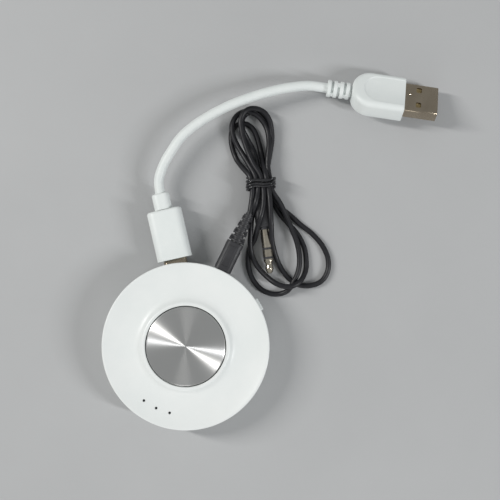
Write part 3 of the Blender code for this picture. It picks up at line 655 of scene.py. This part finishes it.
def audio_route():
    """The black cord's centreline from the near relief to the far one: seven passes of the tie."""
    low, mid, top = FIRST_LAYER, SECOND_LAYER, THIRD_LAYER
    route = [(0, 50.6, 6.5), (-0.1, 51.8, 6.45), (-0.6, 53.6, 6.3), (-1.4, 56.2, 6.2)]
    route += through_tie(-3.4, 6.2, True)
    route += [(-9.2, 65.1, 4.0), (-12.8, 67.2, 1.4), (-15.3, 69.6, low)]
    route += level(low, (-17.4, 72.5), (-18.5, 75.4), (-18.2, 77.7), (-16.6, 79.5), (-14.3, 80.1),
                   (-12.0, 79.4), (-10.0, 77.9), (-8.1, 75.9), (-6.2, 73.6))
    route += [(-4.5, 71.2, 2.2), (-2.5, 68.5, 4.6)]
    route += through_tie(2.35, 6.3, False)
    route += [(5.5, 56.8, 6.7), (8.4, 51.5, 6.4), (11.4, 46.2, 4.0), (14.3, 42.6, 2.2), (17.9, 39.3, 1.1)]
    route += level(low, (21.9, 37.0), (24.1, 36.4), (26.1, 36.1), (28.5, 36.6), (31.1, 38.0),
                   (33.7, 41.0), (34.1, 45.1), (32.5, 48.9), (29.1, 52.1), (23.5, 54.7), (17.9, 56.0))
    route += [(13.9, 57.2, 1.2), (8.2, 58.6, 2.1)]
    route += through_tie(2.75, 3.3, True)
    route += [(-1.7, 70.3, 3.0), (-2.9, 74.6, mid), (-4.4, 79.1, mid), (-6, 82, 3.2), (-8.1, 84.6, 3.9),
              (-10.7, 86.1, 4.5), (-13.5, 86.2, 4.8), (-15.9, 85.1, top), (-17.3, 82.9, top),
              (-17.2, 80.2, top), (-15.3, 76.9, top), (-12.5, 73.5, top), (-9.4, 70.4, 5.2),
              (-6.4, 67.9, 5.8)]
    route += through_tie(0.5, 6.4, False)
    route += [(3.1, 56.2, 6.95), (4.1, 52.1, 6.95), (4.8, 47.8, 5.0), (5.5, 43.4, 1.6), (5.3, 41.5, low),
              (5.4, 39.7, low), (6.0, 37.7, low), (8.2, 33.7, low), (11.8, 30.4, low),
              (16.2, 28.8, low), (20.2, 29.3, low), (22.7, 30.8, 1.3), (24.1, 32.6, 2.3),
              (24.5, 34.5, mid), (24.6, 36.6, mid), (24.7, 39.2, mid), (24.0, 42.4, mid),
              (22.4, 45.8, mid), (19.7, 49.5, mid), (15.9, 53.1, 2.9), (12.0, 56.5, 3.4),
              (7.6, 59.9, 4.3)]
    route += through_tie(3.6, 4.95, True)
    route += [(-1.6, 69.6, 4.6), (-2.9, 72.6, 4.4), (-4.1, 76.0, 4.1), (-5.7, 79.1, 3.4),
              (-8, 81.9, 2.9), (-10.7, 83.6, 2.9), (-13.4, 84.4, 2.9), (-15.9, 84.3, 2.9),
              (-18.0, 83.1, 2.9), (-19.3, 80.9, 2.9), (-19.5, 78.3, 2.9), (-18.7, 75.9, 2.9),
              (-17.1, 73.8, 2.9), (-14.5, 71.6, 3.0), (-11.5, 69.6, 3.6), (-8.1, 67.3, top)]
    route += through_tie(-1.45, 6.3, False)
    route += [(0.3, 55.9, 6.9), (1.3, 50.7, 4.5), (3.2, 45.6, 3.4), (5.1, 41.4, 2.9), (7.4, 38.3, 2.2),
              (10.6, 35.8, 2.4), (14.7, 34.1, 3.2), (19.2, 33.2, 4.6), (22.3, 33.5, 4.8),
              (24.7, 34.8, 4.8), (26.3, 37.0, 4.0), (27.0, 39.9, 2.2), (26.7, 42.6, 1.2),
              (25.4, 45.4, low), (22.9, 49.0, low), (18.7, 52.3, low), (13.9, 54.4, low),
              (10.2, 56.0, low), (6.9, 58.2, 1.1)]
    route += through_tie(2.7, 1.4, True)
    route += [(-1.9, 70, 1.1), (-3.3, 74.2, low), (-4.6, 78.2, low), (-6.1, 81.4, low),
              (-8.1, 84.0, low), (-10.7, 85.5, low), (-13.3, 85.7, low), (-15.5, 84.7, 1.0),
              (-16.8, 82.7, 1.6), (-16.8, 80.2, 2.7), (-15.3, 77.7, 2.8), (-12.2, 75.2, 1.6),
              (-9.4, 73.2, 1.0), (-7.0, 70.9, 1.7), (-5.4, 68.8, 2.7)]
    end = far_plug_place() @ Vector((0, AUDIO_GRIP[1] + RELIEF_LENGTH + 2 * GAP - 0.6, 0))
    return route + [tuple(end)]


def free_cord(name, route, radius, material, sides, spacing):
    line = [Vector((p.x, p.y, max(p.z, radius))) for p in smooth_line(route, spacing)]
    mesh = grown(name, SWEEP, polyline(line), {"Radius": radius, "Sides": sides, "Material": material})
    length = sum((q - p).length for p, q in zip(line, line[1:])) * MM
    return mesh, [p * MM for p in line], length


def usb_route():
    start = usb_port(USB_C_START + USB_C_GRIP[1] + USB_C_NECK[1] - GAP) @ Vector()
    end = usb_a_place() @ Vector((0, -USB_CORD_BACK, 0))
    return [tuple(start), *USB_ROUTE, tuple(end)]


# ---- puck

def top_shell():
    rim = arc((PUCK_R - RIM_ROUND, RIM_Z - RIM_ROUND), RIM_ROUND, 0, 105, 7)
    dish = smooth_line([(r, z, 0) for r, z in (
        (28.55, 11.97), (27.2, 11.52), (25.5, 11.05), (22.5, 10.45), (20.5, 10.27), (19.0, 10.25),
        (17.9, 10.33), (17.2, 10.49), (16.6, 10.73), (16.1, 11.08), (15.7, 11.46), (15.4, 11.73),
        (15.1, 11.87), (14.8, 11.9), (14.5, 11.9), (14.3, 11.87), (14.2, 11.8), (14.15, 11.68))], 0.3)
    under = [(WELL_R, 8.9), (15.9, 8.9), (17.2, 8.75), (22.5, 8.95), (25.8, 9.6), (27.3, 9.0),
             (27.3, PARTING_Z), (28.38, PARTING_Z), (FOOT_R, 2.72)]
    side = smooth_line([(28.53, 3.2, 0), (28.7, 5.0, 0), (28.87, 6.8, 0), (29.08, 9.2, 0),
                        (29.19, 11.2, 0)], 0.8)
    outline = rim + [(p.x, p.y) for p in dish] + under + [(p.x, p.y) for p in side]
    shell = turned(outline, TURN_STEPS, WHITE_SHELL)
    cutters = [
        (wall_opening(lambda e: oval(USB_OPENING[0] + 2 * e, USB_OPENING[1] + 2 * e), USB_SIDE),
         usb_port()),
        (wall_opening(lambda e: arc((0, 0), AUDIO_OPENING_R + e, 0, 354, 60)),
         turn(AUDIO_ANGLE, PORT_Z)),
        (wall_opening(lambda e: [(x + SWITCH_TRAVEL / 2, z) for x, z in rounded(
            KNOB[0] + SWITCH_TRAVEL + KNOB_CLEARANCE + 2 * e, KNOB[2] + KNOB_CLEARANCE + 2 * e, 0.5 + e)]),
         turn(SWITCH_ANGLE, PORT_Z))]
    for angle in INDICATOR_ANGLES:
        hole = turned([(0, 8), (INDICATOR_HOLE_R, 8), (INDICATOR_HOLE_R, 10.5),
                       (INDICATOR_HOLE_R + 0.12, 10.86), (INDICATOR_HOLE_R + 0.12, 13), (0, 13)], 24)
        cutters.append((hole, turn(angle) @ along_y(INDICATOR_R)))
    shell = carve(shell, cutters)
    settle("puck_top_shell", shell, "receiver", ["top_shell"], sharp=40)


def wall_opening(outline, aside=0.0, soften=0.3):
    """A cutter for the side wall whose mouth is softened where it meets the round wall."""
    rings = [[(x, OPENING_INNER_Y, z) for x, z in outline(0)]]
    for spread, inside in ((0, 1.0), (0.3, 0.3), (1.0, 0), (1.0, -2.0)):
        rings.append([(x, math.sqrt(WALL_R ** 2 - (x + aside) ** 2) - inside * soften, z)
                      for x, z in outline(spread * soften)])
    return loft(rings)


def bottom_shell():
    side = arc((27.55, 1.65), 0.95, 0, -90, 9)[::-1]
    outline = [(0, 2.4), (0, 1.1), (12.3, 1.1), (12.3, 0.8), (12.4, 0.7), (19.8, 0.7), (19.9, 0.8),
               (19.9, 1.1), (25.1, 1.1), (25.1, 0.8), (25.2, 0.7), (27.3, 0.7)] + side
    outline += [(FOOT_R, 2.2), (28.4, 2.3), (27.0, 2.3), (27.0, 3.6), (26.0, 3.6), (26.0, 2.4),
                (25.3, 2.4), (25.3, 3.2), (19.7, 3.2), (19.7, 2.4)]
    shell = turned(outline, TURN_STEPS, WHITE_SHELL)
    bores = []
    for angle in SCREW_ANGLES:
        bore = turned([(0, 0.5), (2.2, 0.5), (2.2, 0.7), (2.0, 0.9), (2.0, 2.5), (1.2, 2.5), (1.2, 3.6),
                       (0, 3.6)], 32)
        bores.append((bore, turn(angle) @ along_y(SCREW_CIRCLE_R)))
    settle("puck_bottom_shell", carve(shell, bores), "receiver", ["bottom_shell"], sharp=40)


def base_details():
    ring = [(20.2, 0.8), (20.2, 0.2)] + arc((20.4, 0.2), 0.2, 180, 270, 5) + [(20.5, 0.0), (22.2, 0.0)]
    ring += [(22.3, 0.12), (22.7, 0.12), (22.8, 0.0), (24.5, 0.0)] + arc((24.6, 0.2), 0.2, 270, 360, 5)
    ring += [(24.8, 0.8)]
    rubber = finish("grey foot rubber", (0.16, 0.165, 0.17), (0.21, 0.215, 0.22), 0.75, mottle=200.0,
                    grain=1800.0, relief=0.00004)
    settle("foot_ring_pad", turned(ring, TURN_STEPS, rubber), "receiver", ["foot_ring"])
    film = finish("label film", (0.66, 0.67, 0.67), (0.72, 0.73, 0.73), 0.4, mottle=160.0, grain=2600.0)
    plate = [(0, 0.8), (11.9, 0.8), (12.0, 0.7), (12.0, 0.56), (11.9, 0.5), (11.2, 0.5), (11.1, 0.56),
             (10.9, 0.56), (10.8, 0.5), (0, 0.5)]
    settle("base_label", turned(plate, 120, film), "receiver", ["label_plate"])
    head = turned([(0, 7.8), (0.55, 7.75), (0.9, 7.2), (0.9, 2.35), (1.7, 2.35), (1.7, 1.5),
                   (1.55, 1.33), (0, 1.3)], 32)
    cross = [block(size, (0, 0, 1.2)) for size in ((2.0, 0.42, 1.4), (0.42, 2.0, 1.4))]
    plated = finish("plated screw steel", (0.42, 0.43, 0.45), (0.56, 0.57, 0.59), 0.3, metallic=1.0,
                    mottle=600.0)
    screws = grown("screws", SCREW_CIRCLE, carve(head, cross), {
        "Circle Radius": SCREW_CIRCLE_R, "Material": plated})
    settle("case_screws", screws, "receiver", [f"case_screw_{n}" for n in (1, 2, 3, 4)], sharp=30)
    post = turned([(1.25, 3.5), (1.25, 8.4), (1.9, 8.9), (1.9, 3.7), (1.7, 3.5)], 32)
    posts = grown("posts", SCREW_CIRCLE, post, {"Circle Radius": SCREW_CIRCLE_R, "Material": WHITE_SHELL})
    settle("screw_posts", posts, "receiver")


def button():
    edge = [(DISC_R - inset, DISC_Z + rise) for inset, rise in (
        (0.34, DISC_DISH), (0.28, 0.095), (0.02, -0.12), (0, -0.17), (0, -0.66), (0.04, -DISC_THICK))]
    face = [(r, DISC_Z + DISC_DISH * (r / DISC_DISH_R) ** 2)
            for r in (0, 1.5, 3, 4.5, 6, 7.5, 9, 10.5, 12, 13)]
    outline = [(0, DISC_Z - DISC_THICK)] + face + edge
    disc = turned(outline, TURN_STEPS, SPUN_ALUMINIUM)
    piece = settle("button_face", disc, "button", ["button_disc"], sharp=25)
    layer = piece.data.uv_layers.new(name="turning")
    for face_made in piece.data.polygons:
        middle = math.atan2(face_made.center.y, face_made.center.x)
        for loop in face_made.loop_indices:
            spot = piece.data.vertices[piece.data.loops[loop].vertex_index].co
            off = (math.atan2(spot.y, spot.x) - middle + math.pi) % math.tau - math.pi
            radius = math.hypot(spot.x, spot.y)
            around = middle + (off if radius > 1e-5 else 0)
            layer.data[loop].uv = (radius / MM / TURNING_SPAN, around / math.tau)
    top = DISC_Z - 1.0
    outline = [(0, top), (13.4, top), (13.6, top - 0.06), (13.7, top - 0.2), (13.7, 8.35),
               (13.6, 8.3), (12.3, 8.3), (12.3, 9.5), (2.0, 9.5), (2.0, 7.4), (0, 7.4)]
    carrier = carve(turned(outline, 128, WHITE_SHELL), [block((7.4, 5.0, 2.4), (0, 14.2, 8.0))])
    settle("button_skirt", carrier, "button", ["button_carrier"], sharp=40)


def indicator_windows():
    amber = finish("led resin", (0.72, 0.66, 0.40), (0.84, 0.78, 0.52), 0.28, mottle=900.0)
    for number, angle in enumerate(INDICATOR_ANGLES, 1):
        pipe = [(0, 5.8), (0.8, 5.8), (0.8, 8.75), (0.72, 8.85), (0.4, 8.85), (0.4, 10.35),
                (0.3, 10.45), (0, 10.5)]
        # Each lens sits just under a hole's mouth; its near-black finish paints the shade inside the hole.
        settle(f"light_pipe_lens_{number}", turned(pipe, 32, HOLE_SHADE_LENS), "receiver",
               [f"light_pipe_{number}"], turn(angle) @ along_y(INDICATOR_R))
        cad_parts[f"indicator_led_{number}"].material_slots[0].material = amber


def power_knob():
    where = turn(SWITCH_ANGLE, PORT_Z)
    middle = PUCK_R + KNOB_OUT - KNOB[1] / 2
    knob = as_mesh(block(KNOB, (0, middle, 0), 0.4, 5), WHITE_GRIP)
    knob = carve(knob, [block((1.4, 3.0, 1.2), (0, 24.9, 0), 0.1)], "UNION")
    grooves = [block((0.28, 0.5, 3.0), (x, PUCK_R + 0.82, 0)) for x in (-1.0, 0.0, 1.0)]
    settle("power_slider_knob", repaint(carve(knob, grooves), WHITE_GRIP), "power_slider",
           ["slide_switch_knob"], where)


# ---- USB lead

def usb_c_end():
    where = usb_port(USB_C_START)
    width, length, height = USB_C_GRIP
    body = as_mesh(soft_bar(width, height, 2.7, 0, length, 0.15, 0.95, 14), WHITE_GRIP)
    wide, tall = USB_C_SHELL
    body = carve(body, [bar_along_y(oval(wide + PLUG_POCKET, tall + PLUG_POCKET), -1.0, 1.5)])
    settle("usb_c_handle", body, "usb_lead", ["usb_c_grip"], where)
    shell = as_mesh(bar_along_y(oval(wide, tall, 16), -8.0, 1.2, 0.16), SHELL_NICKEL_WITH_PAINTED_REFLECTION)
    hollow = bar_along_y(oval(wide - 2 * PLUG_WALL, tall - 2 * PLUG_WALL, 16), -9.0, 0.4)
    shell = carve(shell, [hollow, block((0.09, 9.0, 0.3), (0, -3.0, tall / 2))])
    settle("usb_c_tube", shell, "usb_lead", ["usb_c_shell"], where)
    contact = as_mesh(block((0.22, 3.2, 0.1), (0, -5.6, 0.62), 0.03, 2), CONTACT_GOLD)
    for name, flip in (("upper", 1), ("lower", -1)):
        row = grown("contacts", ROW, contact.copy(), {"Count": 12, "Pitch": 0.5, "Material": CONTACT_GOLD})
        settle(f"usb_c_contacts_{name}", row, "usb_lead",
               matrix=where @ Matrix.Diagonal((1, 1, flip, 1)))
    back = USB_C_GRIP[1] + GAP
    collar = soft_bar(USB_C_NECK[0], USB_C_NECK[2], 2.2, back - 0.2, back + USB_C_NECK[1], 0.0, 0.8)
    settle("usb_c_collar", as_mesh(collar, WHITE_GRIP), "usb_lead", ["usb_c_neck"],
           where, sharp=50)


def usb_a_end():
    where = usb_a_place()
    rib = [(1.6, 0), (2.72, 0)] + arc((2.72, 0.28), 0.28, -90, 0, 5)[1:]
    rib += arc((2.72, 1.02), 0.28, 0, 90, 5) + [(1.6, 1.3)]
    relief = grown("relief", RELIEF_RIBS, section(rib), {
        "Ribs": USB_A_RIBS, "Pitch": USB_A_RIB_PITCH, "Taper": 1.0, "Core Base": 1.95, "Core Tip": 1.95,
        "Length": 8.5, "Bridge": 5.7, "Material": WHITE_GRIP})
    settle("usb_a_ribs", relief, "usb_lead", ["usb_a_relief"],
           where @ along_y(-USB_A_RELIEF_BACK) @ LYING, sharp=50)
    length = USB_A_GRIP[1]
    mouth = where @ along_y(length)
    body = moulded_grip(USB_A_GRIP, 6.6, 1.8, 0.45)
    bmesh.ops.rotate(body, verts=body.verts, cent=(0, 0, 0), matrix=Matrix.Rotation(math.pi, 3, "Z"))
    top = USB_A_GRIP[2] / 2
    rings = []
    for z, inset in ((top - 0.24, 0.36), (top - 0.2, 0.24), (top - 0.04, 0.05), (top + 0.02, 0.0),
                     (top + 1.0, 0.0)):
        half = 5.55 - inset
        rings.append([(half, 1.0, z)] + [(x, y, z) for x, y in arc((0, -9.1), half, 0, -180, 33)]
                     + [(-half, 1.0, z)])
    well = loft(rings)
    wide, tall = USB_A_SHELL
    pocket = block((wide + PLUG_POCKET, 3.0, tall + PLUG_POCKET), (0, 0, 0))
    body = carve(as_mesh(body, WHITE_GRIP), [well, pocket])
    settle("usb_a_handle", body, "usb_lead", ["usb_a_grip"], mouth)
    shell = as_mesh(bar_along_y(rounded(wide, tall, 0.65, 10), -1.2, USB_A_OUT, 0.12), SHELL_NICKEL_WITH_PAINTED_REFLECTION)
    inside = rounded(wide - 2 * PLUG_WALL, tall - 2 * PLUG_WALL, 0.3, 4)
    cuts = [bar_along_y(inside, -0.8, USB_A_OUT + 1)]
    cuts += [block((2.2, 1.9, 8), (side * WINDOW_ASIDE, 5.0, 0), 0.5, 4) for side in (-1, 1)]
    cuts.append(block((0.1, 14, 0.6), (0, 5.6, -tall / 2)))
    dimple = turned([(0, -0.3), (0.16, -0.27), (0.46, 0.04), (0.46, 0.5), (0, 0.5)], 24)
    cuts.append((dimple, Matrix.Translation((-0.8, 1.9, tall / 2))))
    settle("usb_a_tube", carve(shell, cuts), "usb_lead", ["usb_a_shell"], mouth)
    latches()
    tongue = block((10.4, USB_A_OUT - 0.6, 1.7), (0, USB_A_OUT / 2 - 0.5, -0.75), 0.18)
    settle("usb_a_insert", as_mesh(tongue, WHITE_GRIP), "usb_lead", ["usb_a_tongue"], mouth)
    contact = as_mesh(block((1.0, 7.0, 0.12), (0, 6.6, 0.13), 0.04, 2), CONTACT_GOLD)
    row = grown("contacts", ROW, contact, {"Count": 4, "Pitch": 2.25, "Material": CONTACT_GOLD})
    settle("usb_a_contacts", row, "usb_lead", matrix=mouth)


def latches():
    """Sprung tabs behind the two windows of the USB-A tube, on both of its faces."""
    mouth = usb_a_place() @ along_y(USB_A_GRIP[1])
    inner = USB_A_SHELL[1] / 2 - PLUG_WALL
    brass = finish("brass spring", (0.34, 0.26, 0.13), (0.42, 0.33, 0.18), 0.28, metallic=1.0,
                   mottle=700.0)
    curve = ((-1.35, -0.9), (1.35, -0.9), (1.35, -0.5), (-0.45, -0.5), (-0.75, -0.42), (-0.95, -0.25),
             (-1.08, -0.02), (-1.35, -0.02))
    for number, (side, flip) in enumerate(((-1, 1), (1, 1), (-1, -1), (1, -1)), 1):
        rings = [[(side * WINDOW_ASIDE + x, y, inner + z - drop) for x, z in curve]
                 for y, drop in ((4.05, 0.0), (4.6, 0.04), (5.2, 0.14), (5.8, 0.18), (6.2, 0.1))]
        settle(f"usb_a_latch_{number}", as_mesh(loft(rings), brass), "usb_lead",
               matrix=mouth @ Matrix.Diagonal((1, 1, flip, 1)))


# ---- audio lead

def audio_pin(name, where, node):
    """Four-part jack pin: rounded tip, waist, and two black insulating rings."""
    tip = -PIN_LENGTH
    outline = [(r, tip + z) for r, z in (
        (0, 0), (0.6, 0.05), (0.95, 0.3), (1.42, 1.45), (1.5, 1.8), (1.46, 2.1), (1.25, 2.9), (1.22, 3.4),
        (1.3, 3.8), (1.66, 4.3), (PIN_R - 0.04, 4.5))]
    for low, high in INSULATORS:
        outline += [(PIN_R, tip + low), (INSULATOR_R, tip + low + 0.05), (INSULATOR_R, tip + high - 0.05),
                    (PIN_R, tip + high)]
    groove_r = PIN_R - 0.06
    outline += [(PIN_R, -2.7), (groove_r, -2.66), (groove_r, -2.56), (PIN_R, -2.52), (PIN_R, 0.8),
                (0, 0.8)]
    mesh = turned(outline, 48, PIN_METAL, BLACK_GRIP)
    for face in mesh.polygons:
        height = face.center.z - tip
        face.material_index = int(any(low + 0.02 < height < high - 0.02 for low, high in INSULATORS))
    settle(name, mesh, "audio_lead", [node], where @ LYING)


def audio_plug(prefix, where, node, front):
    """A plug whose CAD nodes begin with the given word; its grip starts at front."""
    audio_pin(prefix + "_jack_pin", where, node + "_plug_pin")
    width, length, height = AUDIO_GRIP
    body = as_mesh(soft_bar(width, height, 1.7, front, GAP + length, 0.15, 0.4), BLACK_GRIP)
    bore = turned([(0, -2.0), (PIN_R + 0.15, -2.0), (PIN_R + 0.15, 1.0), (0, 1.0)], 40)
    settle(prefix + "_handle", carve(body, [(bore, LYING)]), "audio_lead", [node + "_plug_grip"],
           where)
    sleeve_r = PIN_R + 0.05
    collar = [(sleeve_r, front - 0.9), (2.3, front - 0.9), (2.4, front - 0.8), (2.4, front + 0.3),
              (sleeve_r, front + 0.3)]
    neck = [(0, -1.0), (1.9, -1.0), (1.9, GAP + 0.2), (0, GAP + 0.2)]
    pad = block((2.9, 7.6, 0.5), (0, GAP + length / 2 - 0.2, height / 2 - 0.08), 0.24, 4)
    for name, mesh, place in (
            ("_shoulder", turned(collar, 40, BLACK_GRIP), where @ LYING),
            ("_neck", turned(neck, 32, BLACK_GRIP), where @ along_y(GAP + length) @ LYING),
            ("_thumb_pad", as_mesh(pad, BLACK_GRIP), where)):
        settle(prefix + name, mesh, "audio_lead", matrix=place)
    ribs, pitch = RELIEF_RIB_COUNT, RELIEF_LENGTH / RELIEF_RIB_COUNT
    wide, slim = RELIEF_BASE_R, RELIEF_TIP_R
    outer = wide + (slim - wide) * 0.5 / ribs
    rib = [(outer * 0.6, 0), (outer - 0.2, 0)] + arc((outer - 0.2, 0.2), 0.2, -90, 0, 4)[1:]
    rib += arc((outer - 0.2, pitch * 0.5 - 0.2), 0.2, 0, 90, 4) + [(outer * 0.6, pitch * 0.5)]
    relief = grown("relief", RELIEF_RIBS, section(rib), {
        "Ribs": ribs, "Pitch": pitch, "Taper": slim / wide, "Core Base": wide * 0.64,
        "Core Tip": slim * 0.72, "Length": RELIEF_LENGTH, "Bridge": 1.9 * wide, "Material": BLACK_GRIP})
    settle(prefix + "_ribs", relief, "audio_lead", [node + "_plug_relief"],
           where @ along_y(GAP + length + GAP) @ LYING, sharp=50)


def cable_tie():
    """Coated wire wound round the waist of the folded cord, its turns crossing on top."""
    half, low, high, corner = 4.86, 0.42, 7.48, 1.9
    loop = [(x, z + (low + high) / 2) for x, z in rounded(2 * half, high - low, corner, 6)]
    leans = (2.2, 1.5, 0.7, 1.9, -0.4, 0.6, -1.3, -0.2, -2.2, -1.2)
    lifts = (0.0, 0.0, 0.5, 0.5, 0.1, 0.2, 0.6, 0.5, 0.0, 0.0)
    count, spans = len(loop), len(leans) - 1
    steps = count * spans // 2
    route = []
    for step in range(steps + 1):
        x, z = loop[(step + count // 2) % count]
        spot = step * spans / steps
        first = min(int(spot), spans - 1)
        share = spot - first
        share = share * share * (3 - 2 * share)
        away, lift = (v[first] * (1 - share) + v[first + 1] * share for v in (leans, lifts))
        lift *= max(0.0, (z - low) / (high - low))
        route.append((x * (1 + 0.06 * lift), away, z + lift))
    mesh = free_cord("tie", route, TIE_WIRE_R, TIE_WIRE, 14, 0.35)[0]
    settle("tie_wire", mesh, "audio_lead", ["cable_tie"], tie_place(), sharp=60)


# ---- scene


def cords():
    white_mesh, white_path, white_length = free_cord("usb", usb_route(), USB_CORD_R, WHITE_CORD, 32, 0.9)
    white = settle("usb_lead_cord", white_mesh, "usb_lead", ["usb_cord"], sharp=60)
    black_mesh, black_path, black_length = free_cord("audio", audio_route(), AUDIO_CORD_R, BLACK_CORD,
                                                     16, 0.7)
    black = settle("audio_lead_cord", black_mesh, "audio_lead", ["audio_cord", "audio_hank"],
                   sharp=60)


def dress_nodes():
    for name, made in record_finishes().items():
        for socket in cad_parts[name].material_slots:
            socket.material = made


def area_light(name, azimuth, elevation, size, energy, colour):
    data = bpy.data.lights.new(name, "AREA")
    data.shape, data.size, data.size_y = "RECTANGLE", *size
    data.energy, data.color = energy, colour
    flat, up = math.radians(azimuth), math.radians(elevation)
    way = Vector((math.cos(up) * math.cos(flat), math.cos(up) * math.sin(flat), math.sin(up)))
    lamp = linked(name, data)
    lamp.location = Vector(LIGHT_TARGET) + way * LIGHT_DISTANCE
    lamp.rotation_euler = way.to_track_quat("Z", "Y").to_euler()


def studio():
    builder = bmesh.new()
    bmesh.ops.create_grid(builder, x_segments=2, y_segments=2, size=1.5)
    paper = finish("pale backdrop paper", (0.43, 0.435, 0.44), (0.46, 0.465, 0.47), 0.8, mottle=9.0,
                   grain=900.0, relief=0.00003)
    floor = linked("studio_floor", as_mesh(builder, paper))
    floor.location = (0, 0, -0.0001)
    for light in LIGHTS:
        area_light(*light)
    bpy.context.scene.view_settings.view_transform = "Standard"
    world = bpy.data.worlds.new("soft room")
    bpy.context.scene.world = world
    world.use_nodes = True
    room = world.node_tree.nodes["Background"].inputs
    room["Color"].default_value, room["Strength"].default_value = ROOM_COLOUR, ROOM_STRENGTH


def camera():
    data = bpy.data.cameras.new("camera")
    data.lens, data.sensor_width, data.clip_start = 66.0, 36.0, 0.01
    eye = linked("camera", data)
    eye.location = CAMERA_SPOT
    eye.rotation_euler = (0, 0, math.radians(CAMERA_TURN))
    bpy.context.scene.camera = eye


camera()
studio()
top_shell()
bottom_shell()
base_details()
button()
indicator_windows()
power_knob()
usb_c_end()
usb_a_end()
audio_plug("near", turn(AUDIO_ANGLE, PORT_Z) @ along_y(AUDIO_START), "audio", -0.4)
audio_plug("far", far_plug_place(), "far", GAP)
cable_tie()
cords()
dress_nodes()
